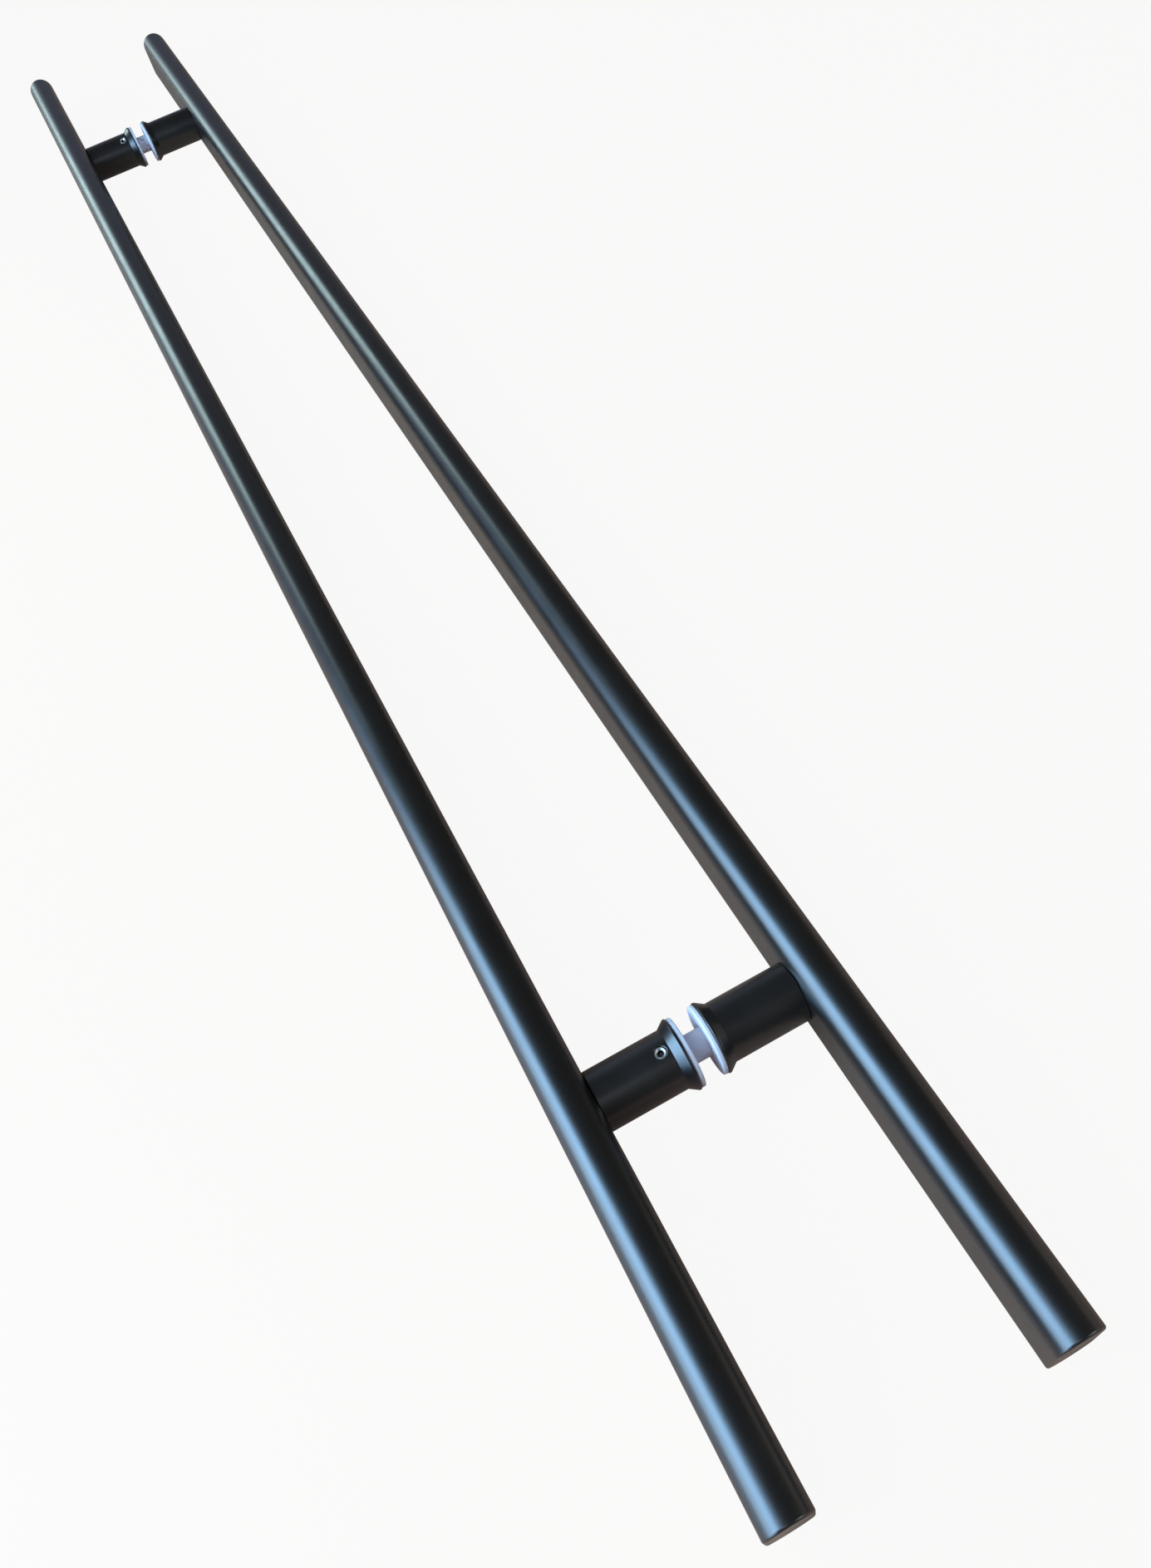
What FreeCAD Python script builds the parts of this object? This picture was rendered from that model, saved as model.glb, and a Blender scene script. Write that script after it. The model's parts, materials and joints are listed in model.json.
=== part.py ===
import FreeCAD, Part
import math
import os

# A back to back pair of ladder pulls for a glass door: two flat-oval tubes, each carried by
# two turned posts, with studs that run through sleeves in the holes of the door.
# The pair lies on its side. The origin is the middle of the door panel, midway between the
# two fixings. X runs along the bars to their upper ends, Y from the outside handle to the
# inside handle, and Z points up. All sizes are in millimetres and angles in degrees.

# Bars: flat-oval tube whose flat sides face the door.
BAR_LENGTH = 1200.0
BAR_HEIGHT = 38.0
BAR_WIDTH = 19.0
BAR_WALL = 1.5
BAR_END_ROUND = 1.0

# End caps: cups driven into the tubes until their faces are flush with the tube ends.
CAP_FACE = 3.0
CAP_DEPTH = 14.0
CAP_SKIRT_WALL = 2.0
CAP_LEAD_CHAMFER = 0.8
CAP_CLEARANCE = 0.1

# Door panel and the distance between its two holes.
PANEL_THICKNESS = 8.0
HOLE_SPACING = 900.0

# Posts: a plain barrel, then a short cone out to a thin rim that faces the door.
POST_DIAMETER = 25.0
POST_LENGTH = 38.0
POST_END_CHAMFER = 0.3
RIM_OVERHANG = 2.5
RIM_LAND = 1.0
RIM_ROUND = 0.4
FLARE_LENGTH = 3.6

# Gaskets and sleeves that keep metal off the glass.
GASKET_THICKNESS = 2.0
GASKET_INSET = 0.4
GASKET_EDGE_ROUND = 0.6
GASKET_BORE_CLEARANCE = 0.1
SLEEVE_WALL = 1.8
SLEEVE_CLEARANCE = 0.2
SLEEVE_END_CLEARANCE = 0.2

# Studs: one size of thread, drawn as plain cylinders.
STUD_DIAMETER = 8.0
STUD_CHAMFER = 0.8
STUD_END_INSET = 1.0
THREAD_CLEARANCE = 0.1
THROUGH_STUD_GRIP = 15.0
HOLE_END_GAP = 1.0
DRILL_POINT_ANGLE = 118.0

# Bosses on the through studs, which slide into the posts of the inside handle.
BOSS_LENGTH = 16.0
BOSS_CLEARANCE = 0.1
BOSS_END_GAP = 2.0
BOSS_CHAMFER = 0.6
BOSS_FLAT_DEPTH = 1.2
BOSS_FLAT_LENGTH = 4.0
POST_WALL = 4.4
POST_WEB = 6.0

# Grub screws with cone points, which lock the posts on the grooves of the bosses.
GRUB_DIAMETER = 5.0
GRUB_SETBACK = 8.4
GRUB_RECESS = 0.5
GRUB_CHAMFER = 0.3
GRUB_TIP_RADIUS = 0.4
GRUB_SEAT_GAP = 0.1
GRUB_SOCKET_WIDTH = 2.5
GRUB_SOCKET_DEPTH = 2.0
GRUB_SOCKET_SINK = 0.5
GRUB_HOLE_CHAMFER = 0.4
GROOVE_DEPTH = 1.2

# Lean of each grub screw from straight up, towards the lower end. The posts stop where
# their studs run home, so the two screws don't point the same way.
SCREW_LEANS = {"upper": 27.0, "lower": 0.0}

# Rivet nuts that are set in the tube walls and take the set studs of the posts.
RIVET_WALL = 1.4
RIVET_CLEARANCE = 0.1
RIVET_FLANGE_OVERHANG = 2.0
RIVET_FLANGE_THICKNESS = 1.0
RIVET_BULGE_OVERHANG = 1.2
RIVET_BULGE_LENGTH = 3.5
RIVET_BARREL_LENGTH = 6.5

# Largest share of the room on its wall that a round or a chamfer may take.
ROUND_SHARE = 0.9

# Sides of the door and ends of the bars, as signs along Y and X.
SIDES = {"inside": 1, "outside": -1}
ENDS = {"upper": 1, "lower": -1}

# Stations along Y, from the middle of the door panel out to the bar.
gasket_station = PANEL_THICKNESS / 2
rim_station = gasket_station + GASKET_THICKNESS
bar_station = rim_station + POST_LENGTH
bar_centre_station = bar_station + BAR_WIDTH / 2
bar_inner_wall_station = bar_station + BAR_WALL
rivet_bulge_end_station = bar_inner_wall_station + RIVET_BULGE_LENGTH
rivet_end_station = rivet_bulge_end_station + RIVET_BARREL_LENGTH
grub_station = rim_station + GRUB_SETBACK
boss_end_station = rim_station + BOSS_LENGTH
boss_bore_end_station = boss_end_station + BOSS_END_GAP
set_stud_hole_station = boss_bore_end_station + POST_WEB

# Radii that follow from the driving sizes.
post_radius = POST_DIAMETER / 2
rim_radius = post_radius + RIM_OVERHANG
gasket_radius = rim_radius - GASKET_INSET
stud_radius = STUD_DIAMETER / 2
thread_radius = stud_radius + THREAD_CLEARANCE
sleeve_bore_radius = stud_radius + SLEEVE_CLEARANCE
sleeve_radius = sleeve_bore_radius + SLEEVE_WALL
boss_bore_radius = post_radius - POST_WALL
boss_radius = boss_bore_radius - BOSS_CLEARANCE
groove_radius = boss_radius - GROOVE_DEPTH
grub_radius = GRUB_DIAMETER / 2
grub_hole_radius = grub_radius + THREAD_CLEARANCE
rivet_radius = thread_radius + RIVET_WALL
rivet_flange_radius = rivet_radius + RIVET_FLANGE_OVERHANG

ORIGIN = FreeCAD.Vector(0, 0, 0)
ALONG_X = FreeCAD.Vector(1, 0, 0)
ALONG_Y = FreeCAD.Vector(0, 1, 0)
ALONG_Z = FreeCAD.Vector(0, 0, 1)


def limited(size, room):
    """A round or chamfer size, held within the room that its wall leaves."""
    return min(size, room * ROUND_SHARE)


def turned(profile):
    """A solid turned about Y, from (radius, station) points that go round its half section."""
    points = [FreeCAD.Vector(radius, station, 0) for radius, station in profile]
    outline = Part.makePolygon(points + points[:1])
    return Part.Face(outline).revolve(ORIGIN, ALONG_Y, 360)


def drilled(radius, mouth, depth, direction):
    """The space that a pointed drill leaves along Y, from a mouth station inwards."""
    heading = ALONG_Y * direction
    bottom = ALONG_Y * (mouth + direction * depth)
    point_height = radius / math.tan(math.radians(DRILL_POINT_ANGLE / 2))
    shank = Part.makeCylinder(radius, depth, ALONG_Y * mouth, heading)
    point = Part.makeCone(radius, 0, point_height, bottom, heading)
    return shank.fuse(point)


def edges_at_station(solid, station):
    """The edges that lie in one plane across Y."""
    return [
        edge
        for edge in solid.Edges
        if all(abs(vertex.Point.y - station) < 1e-6 for vertex in edge.Vertexes)
    ]


def flat_oval(inset, station_x):
    """The outline of the bar's section at a place along X, drawn in by an inset."""
    half_width = BAR_WIDTH / 2 - inset
    half_flat = (BAR_HEIGHT - BAR_WIDTH) / 2
    half_height = half_flat + half_width

    def corner(y, z):
        return FreeCAD.Vector(station_x, y, z)

    edges = [
        Part.makeLine(corner(half_width, -half_flat), corner(half_width, half_flat)),
        Part.Arc(
            corner(half_width, half_flat),
            corner(0, half_height),
            corner(-half_width, half_flat),
        ).toShape(),
        Part.makeLine(corner(-half_width, half_flat), corner(-half_width, -half_flat)),
        Part.Arc(
            corner(-half_width, -half_flat),
            corner(0, -half_height),
            corner(half_width, -half_flat),
        ).toShape(),
    ]
    return Part.Wire(edges)


def oval_prism(inset, start_x, length):
    """A prism with the bar's section, drawn in by an inset, from a place along X."""
    return Part.Face(flat_oval(inset, start_x)).extrude(ALONG_X * length)


def make_bar():
    """The inside handle's tube, with softened ends and a hole at each fixing."""
    body = oval_prism(0, -BAR_LENGTH / 2, BAR_LENGTH)
    end_edges = [
        edge
        for edge in body.Edges
        if abs(edge.BoundBox.XMax - edge.BoundBox.XMin) < 1e-6
    ]
    body = body.makeFillet(limited(BAR_END_ROUND, BAR_WALL), end_edges)
    tube = body.cut(oval_prism(BAR_WALL, -BAR_LENGTH / 2, BAR_LENGTH))
    tube.translate(ALONG_Y * bar_centre_station)
    for end in ENDS.values():
        mouth = FreeCAD.Vector(end * HOLE_SPACING / 2, bar_station, 0)
        hole = Part.makeCylinder(
            rivet_radius + RIVET_CLEARANCE, BAR_WALL, mouth, ALONG_Y
        )
        tube = tube.cut(hole)
    return tube


def make_cap():
    """A cup that closes the upper end of the inside handle's tube."""
    inset = BAR_WALL + CAP_CLEARANCE
    inner_x = BAR_LENGTH / 2 - CAP_DEPTH
    cup = oval_prism(inset, inner_x, CAP_DEPTH)
    lead_edges = [edge for edge in cup.Edges if abs(edge.BoundBox.XMax - inner_x) < 1e-6]
    cup = cup.makeChamfer(limited(CAP_LEAD_CHAMFER, CAP_SKIRT_WALL), lead_edges)
    cup = cup.cut(oval_prism(inset + CAP_SKIRT_WALL, inner_x, CAP_DEPTH - CAP_FACE))
    cup.translate(ALONG_Y * bar_centre_station)
    return cup


def make_post():
    """The turned blank of a post, drilled at the bar end for a set stud and a rivet nut."""
    flare_station = rim_station + RIM_LAND + FLARE_LENGTH
    post = turned(
        [
            (0, rim_station),
            (rim_radius, rim_station),
            (rim_radius, rim_station + RIM_LAND),
            (post_radius, flare_station),
            (post_radius, bar_station - POST_END_CHAMFER),
            (post_radius - POST_END_CHAMFER, bar_station),
            (0, bar_station),
        ]
    )
    rim_edges = edges_at_station(post, rim_station)
    rim_edges += edges_at_station(post, rim_station + RIM_LAND)
    post = post.makeFillet(limited(RIM_ROUND, RIM_LAND / 2), rim_edges)
    recess_depth = RIVET_FLANGE_THICKNESS + RIVET_CLEARANCE
    recess = Part.makeCylinder(
        rivet_flange_radius + RIVET_CLEARANCE,
        recess_depth,
        ALONG_Y * (bar_station - recess_depth),
        ALONG_Y,
    )
    set_stud_hole = drilled(thread_radius, bar_station, bar_station - set_stud_hole_station, -1)
    return post.cut(recess).cut(set_stud_hole)


def make_inside_post():
    """A post bored to slide over a boss, with a tapped hole for its grub screw."""
    boss_bore = Part.makeCylinder(
        boss_bore_radius,
        boss_bore_end_station - rim_station,
        ALONG_Y * rim_station,
        ALONG_Y,
    )
    grub_hole = Part.makeCylinder(
        grub_hole_radius, post_radius, ALONG_Y * grub_station, ALONG_Z
    )
    mouth = Part.makeCone(
        grub_hole_radius,
        grub_hole_radius + GRUB_HOLE_CHAMFER,
        GRUB_HOLE_CHAMFER,
        FreeCAD.Vector(0, grub_station, post_radius - GRUB_HOLE_CHAMFER),
        ALONG_Z,
    )
    return make_post().cut(boss_bore).cut(grub_hole).cut(mouth)


def make_outside_post():
    """A post tapped for the through stud, in the place of an inside post."""
    stud_hole = drilled(thread_radius, rim_station, THROUGH_STUD_GRIP + HOLE_END_GAP, 1)
    return make_post().cut(stud_hole)


def make_gasket():
    """A soft-edged washer between a post's rim and the door."""
    bore_radius = sleeve_radius + GASKET_BORE_CLEARANCE
    gasket = turned(
        [
            (bore_radius, gasket_station),
            (gasket_radius, gasket_station),
            (gasket_radius, rim_station),
            (bore_radius, rim_station),
        ]
    )
    outer_edges = [
        edge
        for edge in gasket.Edges
        if isinstance(edge.Curve, Part.Circle)
        and abs(edge.Curve.Radius - gasket_radius) < 1e-6
    ]
    edge_round = limited(GASKET_EDGE_ROUND, GASKET_THICKNESS / 2)
    return gasket.makeFillet(edge_round, outer_edges)


def make_sleeve():
    """The liner of a door hole, which runs through both gaskets."""
    half_length = rim_station - SLEEVE_END_CLEARANCE
    return turned(
        [
            (sleeve_bore_radius, -half_length),
            (sleeve_radius, -half_length),
            (sleeve_radius, half_length),
            (sleeve_bore_radius, half_length),
        ]
    )


def make_stud(start_station, end_station):
    """A stud along Y with chamfered ends."""
    return turned(
        [
            (0, start_station),
            (stud_radius - STUD_CHAMFER, start_station),
            (stud_radius, start_station + STUD_CHAMFER),
            (stud_radius, end_station - STUD_CHAMFER),
            (stud_radius - STUD_CHAMFER, end_station),
            (0, end_station),
        ]
    )


def make_through_stud():
    """The stud that runs from an outside post through the door into a boss."""
    return make_stud(-rim_station - THROUGH_STUD_GRIP, boss_end_station - STUD_END_INSET)


def make_set_stud():
    """The stud that holds a post to the rivet nut of its bar."""
    return make_stud(
        set_stud_hole_station + HOLE_END_GAP, rivet_end_station - STUD_END_INSET
    )


def make_boss():
    """A tapped boss with a groove for the grub screw and two flats for a spanner."""
    boss = turned(
        [
            (thread_radius, rim_station),
            (boss_radius, rim_station),
            (boss_radius, grub_station - GROOVE_DEPTH),
            (groove_radius, grub_station),
            (boss_radius, grub_station + GROOVE_DEPTH),
            (boss_radius, boss_end_station - BOSS_CHAMFER),
            (boss_radius - BOSS_CHAMFER, boss_end_station),
            (thread_radius, boss_end_station),
        ]
    )
    for end in ENDS.values():
        flat_x = end * (boss_radius - BOSS_FLAT_DEPTH)
        far_x = end * boss_radius
        corner = FreeCAD.Vector(
            min(flat_x, far_x), boss_end_station - BOSS_FLAT_LENGTH, -boss_radius
        )
        flat = Part.makeBox(BOSS_FLAT_DEPTH, BOSS_FLAT_LENGTH, 2 * boss_radius, corner)
        boss = boss.cut(flat)
    return boss


def make_grub_screw():
    """A socket set screw that stands along Z, its cone point in the groove of a boss.

    The mouth of its hexagon socket is countersunk.
    """
    apex = groove_radius + GRUB_SEAT_GAP * math.sqrt(2)
    top = post_radius - GRUB_RECESS
    screw = turned(
        [
            (0, apex + GRUB_TIP_RADIUS),
            (GRUB_TIP_RADIUS, apex + GRUB_TIP_RADIUS),
            (grub_radius, apex + grub_radius),
            (grub_radius, top - GRUB_CHAMFER),
            (grub_radius - GRUB_CHAMFER, top),
            (0, top),
        ]
    )
    corner_radius = GRUB_SOCKET_WIDTH / math.sqrt(3)
    corners = []
    for step in range(7):
        angle = math.radians(60 * step)
        corners.append(
            FreeCAD.Vector(
                corner_radius * math.cos(angle),
                top - GRUB_SOCKET_DEPTH,
                corner_radius * math.sin(angle),
            )
        )
    socket = Part.Face(Part.makePolygon(corners)).extrude(ALONG_Y * GRUB_SOCKET_DEPTH)
    sink_radius = corner_radius + GRUB_SOCKET_SINK
    sink_depth = sink_radius - GRUB_SOCKET_WIDTH / 2
    sink = Part.makeCone(
        GRUB_SOCKET_WIDTH / 2, sink_radius, sink_depth, ALONG_Y * (top - sink_depth), ALONG_Y
    )
    screw = screw.cut(socket).cut(sink)
    screw.rotate(ORIGIN, ALONG_X, 90)
    screw.translate(ALONG_Y * grub_station)
    return screw


def make_rivet_nut():
    """A rivet nut as set: a flange outside the tube's wall and a bulge behind it."""
    bulge_radius = rivet_radius + RIVET_BULGE_OVERHANG
    return turned(
        [
            (thread_radius, bar_station - RIVET_FLANGE_THICKNESS),
            (rivet_flange_radius, bar_station - RIVET_FLANGE_THICKNESS),
            (rivet_flange_radius, bar_station),
            (rivet_radius, bar_station),
            (rivet_radius, bar_inner_wall_station),
            (bulge_radius, bar_inner_wall_station),
            (bulge_radius, bar_inner_wall_station + RIVET_BULGE_LENGTH / 2),
            (rivet_radius, rivet_bulge_end_station),
            (rivet_radius, rivet_end_station),
            (thread_radius, rivet_end_station),
        ]
    )


def placed(solid, side=1, end=0, lean=0):
    """A copy for one side of the door and one end of the bars, turned about its own Y axis.

    The outside handle is the inside handle turned half round about Z.
    """
    copy = solid.copy()
    if lean:
        copy.rotate(ORIGIN, ALONG_Y, -lean)
    if side < 0:
        copy.rotate(ORIGIN, ALONG_Z, 180)
    copy.translate(ALONG_X * (end * HOLE_SPACING / 2))
    return copy


def placed_cap(cap, side, end):
    """A copy of the inside handle's upper cap for another end of either bar."""
    copy = cap.copy()
    if end < 0:
        copy.rotate(ALONG_Y * bar_centre_station, ALONG_Z, 180)
    if side < 0:
        copy.translate(ALONG_Y * (-2 * bar_centre_station))
    return copy


def save(node, *solids):
    """Write one node, as a single solid or as a group of separate ones."""
    shape = solids[0] if len(solids) == 1 else Part.makeCompound(list(solids))
    shape.exportStep("parts/" + node + ".step")


def main():
    os.makedirs("parts", exist_ok=True)
    bar = make_bar()
    cap = make_cap()
    posts = {"inside": make_inside_post(), "outside": make_outside_post()}
    gasket = make_gasket()
    rivet_nuts = []
    set_studs = []
    for side_name, side in SIDES.items():
        save(side_name + "_bar", placed(bar, side))
        for end_name, end in ENDS.items():
            place_name = side_name + "_" + end_name
            save(place_name + "_cap", placed_cap(cap, side, end))
            lean = SCREW_LEANS[end_name]
            save(place_name + "_post", placed(posts[side_name], side, end, lean))
            save(place_name + "_gasket", placed(gasket, side, end))
            rivet_nuts.append(placed(make_rivet_nut(), side, end))
            set_studs.append(placed(make_set_stud(), side, end))
    save("rivet_nuts", *rivet_nuts)
    save("set_studs", *set_studs)

    through_studs = []
    grub_screws = []
    for end_name, end in ENDS.items():
        save(end_name + "_sleeve", placed(make_sleeve(), end=end))
        save(end_name + "_boss", placed(make_boss(), end=end))
        through_studs.append(placed(make_through_stud(), end=end))
        grub_screws.append(placed(make_grub_screw(), end=end, lean=SCREW_LEANS[end_name]))
    save("through_studs", *through_studs)
    save("grub_screws", *grub_screws)


main()
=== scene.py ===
import bpy
import json
import math
from mathutils import Matrix, Vector

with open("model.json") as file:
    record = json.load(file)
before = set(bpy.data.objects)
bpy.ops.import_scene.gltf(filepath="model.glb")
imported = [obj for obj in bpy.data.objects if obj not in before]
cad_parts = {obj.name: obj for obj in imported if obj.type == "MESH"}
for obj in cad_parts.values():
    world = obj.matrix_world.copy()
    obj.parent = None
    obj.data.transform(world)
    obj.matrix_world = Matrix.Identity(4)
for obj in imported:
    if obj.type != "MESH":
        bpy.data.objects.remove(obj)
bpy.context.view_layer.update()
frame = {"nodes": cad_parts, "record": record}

# The camera at the photograph's viewpoint. Places are in metres and the roll in degrees.
CAMERA_PLACE = (-0.614981, 0.052713, 0.433900)
CAMERA_AIM = (-0.314455, -0.015446, 0.0)
CAMERA_ROLL = -17.069
CAMERA_LENS_MM = 26.9453
SENSOR_MM = 36.0

# The floor that the set lies on, in metres. The bars mirror its own warm colour.
FLOOR_HEIGHT = -0.019
FLOOR_HALF_SIZE = 12.0
FLOOR_COLOUR = (0.62, 0.315, 0.185, 1.0)
FLOOR_ROUGHNESS = 0.42

# How white the floor and the room show, to the camera and in reflections.
WHITE = (1.0, 1.0, 1.0, 1.0)
FLOOR_WHITE_TO_CAMERA = 0.93
FLOOR_WHITE_IN_REFLECTIONS = 0.10
ROOM_WHITE_TO_CAMERA = 0.97
ROOM_WHITE_IN_REFLECTIONS = 0.03

# Soft light from panels: a large cool window beside the near half of the bars, deeper in
# colour above and paler below, a dimmer one beside it that the flared feet mirror, a paler
# window beyond the far ends, a dim warm wall on the other side, a panel beyond the near ends
# on that side, and a fill behind the camera. A panel has its middle at a place, looks towards
# a point, and has an even radiance. All sizes are in metres.
PANELS = {
    "near_window_top": {
        "place": (-0.175, 1.05, 1.85),
        "looks_at": (-0.175, 0.0, 1.85),
        "width": 1.15,
        "height": 1.10,
        "radiance": 2.8,
        "colour": (0.35, 0.63, 1.0),
    },
    "near_window_above": {
        "place": (-0.175, 1.05, 0.86),
        "looks_at": (-0.175, 0.0, 0.86),
        "width": 1.15,
        "height": 0.88,
        "radiance": 11.8,
        "colour": (0.37, 0.66, 1.0),
    },
    "near_window_below": {
        "place": (-0.175, 1.05, 0.21),
        "looks_at": (-0.175, 0.0, 0.21),
        "width": 1.15,
        "height": 0.42,
        "radiance": 6.2,
        "colour": (0.48, 0.73, 1.0),
    },
    "near_window_side": {
        "place": (-1.20, 1.05, 0.30),
        "looks_at": (-1.20, 0.0, 0.30),
        "width": 0.88,
        "height": 0.66,
        "radiance": 6.2,
        "colour": (0.36, 0.64, 1.0),
    },
    "far_window": {
        "place": (2.96, 1.22, 1.12),
        "looks_at": (0.0, 0.0, 1.12),
        "width": 0.62,
        "height": 1.76,
        "radiance": 5.8,
        "colour": (0.72, 0.98, 1.0),
    },
    "side_wall": {
        "place": (-0.65, -1.40, 0.30),
        "looks_at": (-0.65, 0.0, 0.30),
        "width": 1.10,
        "height": 0.44,
        "radiance": 0.4,
        "colour": (1.0, 0.90, 0.80),
    },
    "rear_panel": {
        "place": (-1.7, -1.7, 1.1),
        "looks_at": (0.0, 0.0, 0.0),
        "width": 1.20,
        "height": 0.90,
        "radiance": 3.0,
        "colour": (0.85, 0.92, 1.0),
    },
    "fill": {
        "place": (-1.05, 0.55, 1.30),
        "looks_at": (-0.20, 0.0, 0.0),
        "width": 0.90,
        "height": 0.70,
        "radiance": 1.3,
        "colour": (0.80, 0.84, 1.0),
    },
}

# The room around the set: a warm ceiling, and a cooler low part beyond the far ends. The cooler
# part grows over a span of a direction's share along its heading. Going up, it fades over a
# span of the direction's height, by a power.
CEILING_COLOUR = (0.062, 0.057, 0.050, 1.0)
FAR_ROOM_COLOUR = (0.27, 0.31, 0.44, 1.0)
FAR_ROOM_HEADING = (0.90, 0.43, 0.0)
FAR_ROOM_HEADING_SPAN = (0.4, 0.9)
FAR_ROOM_HEIGHT_SPAN = (0.3, 1.0)
FAR_ROOM_FADE_POWER = 4.0

# The materials. Each has two tones and two limits of roughness, and the middle span of a noise
# wanders between them. The grain of a noise is its scale, in features per metre, and its
# detail. The depth of a relief is in metres.
NOISE_SPAN = (0.3, 0.7)

# The satin black coating, with orange peel.
BLACK_TONES = ((0.0030, 0.0027, 0.0024, 1.0), (0.0044, 0.0040, 0.0035, 1.0))
BLACK_TONE_GRAIN = (30.0, 3.0)
BLACK_ROUGHNESS = (0.30, 0.35)
BLACK_ROUGHNESS_GRAIN = (60.0, 4.0)
BLACK_SPECULAR = 1.0
BLACK_PEEL_GRAIN = (1200.0, 2.0)
BLACK_PEEL_DEPTH = 0.000001

# The milky plastic, which lets light in a little way.
PLASTIC_TONES = ((0.73, 0.69, 0.75, 1.0), (0.78, 0.74, 0.80, 1.0))
PLASTIC_TONE_GRAIN = (180.0, 3.0)
PLASTIC_ROUGHNESS = (0.62, 0.72)
PLASTIC_ROUGHNESS_GRAIN = (400.0, 3.0)
PLASTIC_SPECULAR = 0.35
PLASTIC_SCATTER = 0.5
PLASTIC_SCATTER_REACH = 0.005
PLASTIC_SCATTER_COLOUR = (1.0, 0.8, 0.85)
PLASTIC_SKIN_GRAIN = (900.0, 2.0)
PLASTIC_SKIN_DEPTH = 0.000004

# The plated steel, with turning marks. Painted shade darkens it in its recesses. The shade looks
# for walls within a reach in metres, and gives way to the steel's own tones over a span of
# openness.
STEEL_TONES = ((0.66, 0.64, 0.60, 1.0), (0.80, 0.78, 0.74, 1.0))
STEEL_TONE_GRAIN = (500.0, 3.0)
STEEL_ROUGHNESS = (0.38, 0.52)
STEEL_ROUGHNESS_GRAIN = (900.0, 3.0)
STEEL_MARK_GRAIN = (1500.0, 2.0)
STEEL_MARK_STRETCH = (1.0, 8.0, 1.0)
STEEL_MARK_DEPTH = 0.000008
# Painted shade in the recesses: its dark colour, the reach for walls, and the span of openness.
PAINTED_SHADE_COLOUR = (0.045, 0.036, 0.032, 1.0)
PAINTED_SHADE_REACH = 0.003
PAINTED_SHADE_OPENNESS_SPAN = (0.35, 0.8)

# The sockets of a mix node that take and give colours. Their names aren't unique.
MIX_FIRST_COLOUR = 6
MIX_SECOND_COLOUR = 7
MIX_RESULT_COLOUR = 2


def feed(tree, node, inputs):
    """Put values, or the outputs of other nodes, into a node's inputs, by name or by number."""
    for key, source in inputs.items():
        socket = node.inputs[key]
        if isinstance(source, bpy.types.NodeSocket):
            tree.links.new(source, socket)
        else:
            socket.default_value = source


def in_order(*sources):
    """What goes into a node's inputs, numbered from the first input on."""
    return dict(enumerate(sources))


def add_node(tree, kind, inputs=None, **settings):
    """A new node with its properties set and its inputs fed."""
    node = tree.nodes.new(kind)
    for name, value in settings.items():
        setattr(node, name, value)
    feed(tree, node, inputs or {})
    return node


def calculate(tree, operation, *terms):
    """The result of a math operation on values and outputs."""
    node = add_node(tree, "ShaderNodeMath", in_order(*terms), operation=operation)
    return node.outputs["Value"]


def noise(tree, grain, stretch=None):
    """A noise in object space, stretched or even."""
    scale, detail = grain
    vector = add_node(tree, "ShaderNodeTexCoord").outputs["Object"]
    if stretch:
        mapping = add_node(tree, "ShaderNodeMapping", {"Vector": vector, "Scale": stretch})
        vector = mapping.outputs["Vector"]
    inputs = {"Vector": vector, "Scale": scale, "Detail": detail}
    return add_node(tree, "ShaderNodeTexNoise", inputs).outputs["Fac"]


def spread(tree, value, span=NOISE_SPAN, onto=(0.0, 1.0)):
    """A span of a value mapped onto the range between two limits."""
    from_low, from_high = span
    to_low, to_high = onto
    inputs = {
        "Value": value,
        "From Min": from_low,
        "From Max": from_high,
        "To Min": to_low,
        "To Max": to_high,
    }
    return add_node(tree, "ShaderNodeMapRange", inputs).outputs["Result"]


def colour_between(tree, factor, first, second):
    """A colour that runs from the first to the second with a factor."""
    inputs = {"Factor": factor, MIX_FIRST_COLOUR: first, MIX_SECOND_COLOUR: second}
    node = add_node(tree, "ShaderNodeMix", inputs, data_type="RGBA")
    return node.outputs[MIX_RESULT_COLOUR]


def mottled(tree, grain, tones):
    """A colour that wanders between two tones."""
    return colour_between(tree, spread(tree, noise(tree, grain)), *tones)


def uneven(tree, grain, limits):
    """A value that wanders between two limits."""
    return spread(tree, noise(tree, grain), onto=limits)


def relief(tree, height, depth):
    """The surface direction of a relief."""
    inputs = {"Height": height, "Strength": 1.0, "Distance": depth}
    return add_node(tree, "ShaderNodeBump", inputs).outputs["Normal"]


def new_material(name):
    """A new node material, as (material, node tree, shader)."""
    material = bpy.data.materials.new(name)
    material.use_nodes = True
    tree = material.node_tree
    return material, tree, tree.nodes["Principled BSDF"]


def make_satin_black():
    """Satin black coating: fine orange peel and uneven gloss."""
    material, tree, shader = new_material("satin_black")
    look = {
        "Base Color": mottled(tree, BLACK_TONE_GRAIN, BLACK_TONES),
        "Roughness": uneven(tree, BLACK_ROUGHNESS_GRAIN, BLACK_ROUGHNESS),
        "Specular IOR Level": BLACK_SPECULAR,
        "Normal": relief(tree, noise(tree, BLACK_PEEL_GRAIN), BLACK_PEEL_DEPTH),
    }
    feed(tree, shader, look)
    return material


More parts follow.
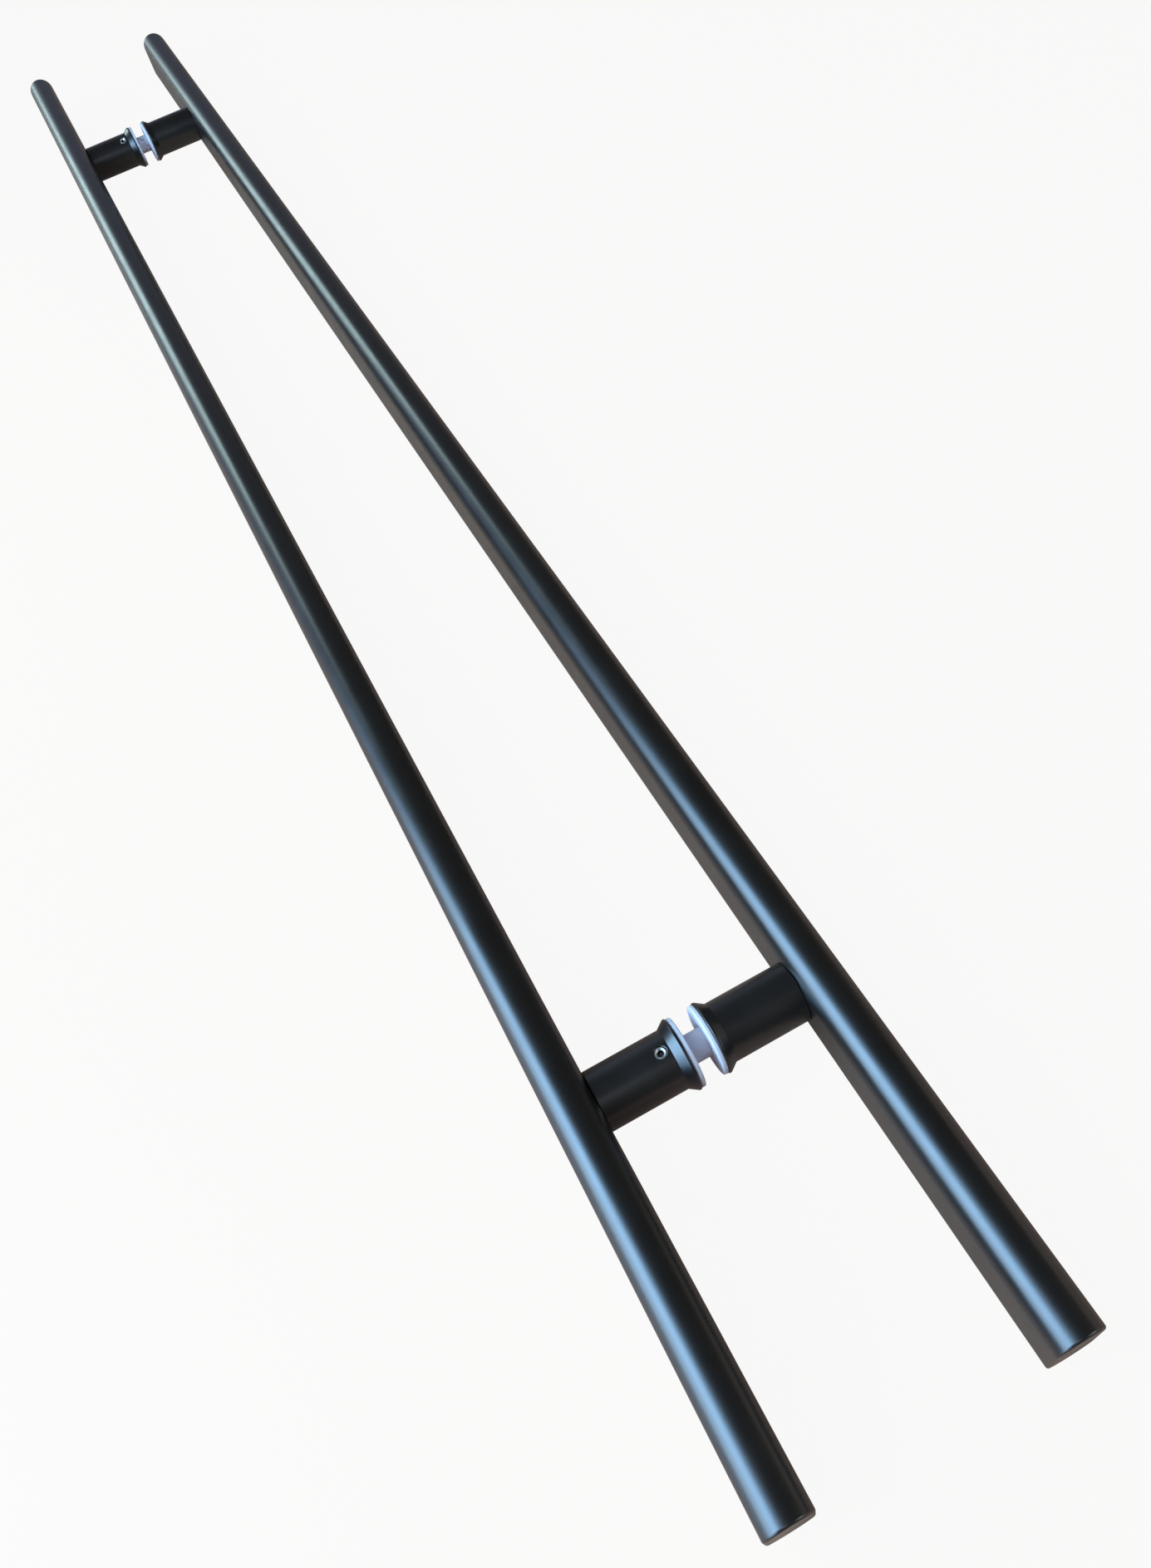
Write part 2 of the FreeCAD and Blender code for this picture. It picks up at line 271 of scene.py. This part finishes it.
def make_white_plastic():
    """Milky moulded plastic with faint mottling."""
    material, tree, shader = new_material("white_plastic")
    look = {
        "Base Color": mottled(tree, PLASTIC_TONE_GRAIN, PLASTIC_TONES),
        "Roughness": uneven(tree, PLASTIC_ROUGHNESS_GRAIN, PLASTIC_ROUGHNESS),
        "Specular IOR Level": PLASTIC_SPECULAR,
        "Subsurface Weight": PLASTIC_SCATTER,
        "Subsurface Radius": PLASTIC_SCATTER_COLOUR,
        "Subsurface Scale": PLASTIC_SCATTER_REACH,
        "Normal": relief(tree, noise(tree, PLASTIC_SKIN_GRAIN), PLASTIC_SKIN_DEPTH),
    }
    feed(tree, shader, look)
    return material


def make_bright_steel():
    """Plated steel with fine turning marks, with painted shade darkening its recesses."""
    material, tree, shader = new_material("bright_steel")
    plated = mottled(tree, STEEL_TONE_GRAIN, STEEL_TONES)
    # Painted shade: ambient occlusion blends the steel towards a dark colour inside its recesses.
    reach = {"Distance": PAINTED_SHADE_REACH}
    openness = add_node(tree, "ShaderNodeAmbientOcclusion", reach, only_local=True)
    unshaded = spread(tree, openness.outputs["AO"], PAINTED_SHADE_OPENNESS_SPAN)
    marks = noise(tree, STEEL_MARK_GRAIN, STEEL_MARK_STRETCH)
    look = {
        "Base Color": colour_between(tree, unshaded, PAINTED_SHADE_COLOUR, plated),
        "Metallic": 1.0,
        "Roughness": uneven(tree, STEEL_ROUGHNESS_GRAIN, STEEL_ROUGHNESS),
        "Normal": relief(tree, marks, STEEL_MARK_DEPTH),
    }
    feed(tree, shader, look)
    return material


def white_share(tree, to_camera, in_reflections):
    """How much white a surface shows: a share to the camera and another in reflections."""
    rays = add_node(tree, "ShaderNodeLightPath").outputs
    mirrored = calculate(tree, "MAXIMUM", rays["Is Glossy Ray"], rays["Is Transmission Ray"])
    reflected = calculate(tree, "MULTIPLY", mirrored, in_reflections)
    return calculate(tree, "MULTIPLY_ADD", rays["Is Camera Ray"], to_camera, reflected)


def make_floor_material():
    """A floor that shows nearly white to the camera and keeps its shadows."""
    material, tree, ground = new_material("pale_floor")
    feed(tree, ground, {"Base Color": FLOOR_COLOUR, "Roughness": FLOOR_ROUGHNESS})
    glow = add_node(tree, "ShaderNodeEmission", {"Color": WHITE, "Strength": 1.0})
    share = white_share(tree, FLOOR_WHITE_TO_CAMERA, FLOOR_WHITE_IN_REFLECTIONS)
    surfaces = in_order(share, ground.outputs["BSDF"], glow.outputs["Emission"])
    mix = add_node(tree, "ShaderNodeMixShader", surfaces)
    feed(tree, tree.nodes["Material Output"], {"Surface": mix.outputs["Shader"]})
    return material


def add_object(name, data):
    """A new object in the scene, with the data of a mesh, a lamp or a camera."""
    thing = bpy.data.objects.new(name, data)
    bpy.context.scene.collection.objects.link(thing)
    return thing


def aimed(place, looks_at):
    """The matrix of a lamp or a camera that stands at a place and looks towards a point."""
    heading = Vector(looks_at) - Vector(place)
    turn = heading.to_track_quat("-Z", "Y").to_matrix().to_4x4()
    return Matrix.Translation(place) @ turn


def add_floor():
    """A large plane just under the bars."""
    half = FLOOR_HALF_SIZE
    corners = [(-half, -half), (half, -half), (half, half), (-half, half)]
    mesh = bpy.data.meshes.new("floor")
    mesh.from_pydata([(x, y, FLOOR_HEIGHT) for x, y in corners], [], [(0, 1, 2, 3)])
    mesh.materials.append(make_floor_material())
    floor = add_object("floor", mesh)


def add_panel_light(name, place, looks_at, width, height, radiance, colour):
    """A rectangular lamp of an even radiance that looks towards a point."""
    lamp = bpy.data.lights.new(name, "AREA")
    lamp.shape = "RECTANGLE"
    lamp.size = width
    lamp.size_y = height
    lamp.energy = radiance * math.pi * width * height
    lamp.color = colour
    light = add_object(name, lamp)
    light.matrix_world = aimed(place, looks_at)


def add_room_light():
    """A dim room around the set, cooler low down beyond the far ends, and white to the camera."""
    world = bpy.data.worlds.new("room")
    bpy.context.scene.world = world
    world.use_nodes = True
    tree = world.node_tree
    direction = add_node(tree, "ShaderNodeTexCoord").outputs["Generated"]
    parts = add_node(tree, "ShaderNodeSeparateXYZ", {"Vector": direction})
    low = spread(tree, parts.outputs["Z"], FAR_ROOM_HEIGHT_SPAN, onto=(1.0, 0.0))
    lowest = calculate(tree, "POWER", low, FAR_ROOM_FADE_POWER)
    vectors = in_order(direction, FAR_ROOM_HEADING)
    along = add_node(tree, "ShaderNodeVectorMath", vectors, operation="DOT_PRODUCT")
    far = spread(tree, along.outputs["Value"], FAR_ROOM_HEADING_SPAN)
    far_and_low = calculate(tree, "MULTIPLY", lowest, far)
    colour = colour_between(tree, far_and_low, CEILING_COLOUR, FAR_ROOM_COLOUR)
    share = white_share(tree, ROOM_WHITE_TO_CAMERA, ROOM_WHITE_IN_REFLECTIONS)
    shown = colour_between(tree, share, colour, WHITE)
    feed(tree, tree.nodes["Background"], {"Color": shown})


def add_camera():
    """The photograph's camera."""
    data = bpy.data.cameras.new("camera")
    data.sensor_width = SENSOR_MM
    data.lens = CAMERA_LENS_MM
    camera = add_object("camera", data)
    roll = Matrix.Rotation(math.radians(CAMERA_ROLL), 4, "Z")
    camera.matrix_world = aimed(CAMERA_PLACE, CAMERA_AIM) @ roll
    bpy.context.scene.camera = camera


def dress_nodes():
    """Give each CAD node the material of its slot."""
    materials = {
        "satin_black": make_satin_black(),
        "white_plastic": make_white_plastic(),
        "bright_steel": make_bright_steel(),
    }
    for subpart in frame["record"]["subparts"]:
        mesh = frame["nodes"][subpart["node"]].data
        mesh.materials.clear()
        mesh.materials.append(materials[subpart["material_slot"]])


dress_nodes()
add_floor()
for panel_name, panel in PANELS.items():
    add_panel_light(panel_name, **panel)
add_room_light()
add_camera()
bpy.context.scene.view_settings.view_transform = "Standard"
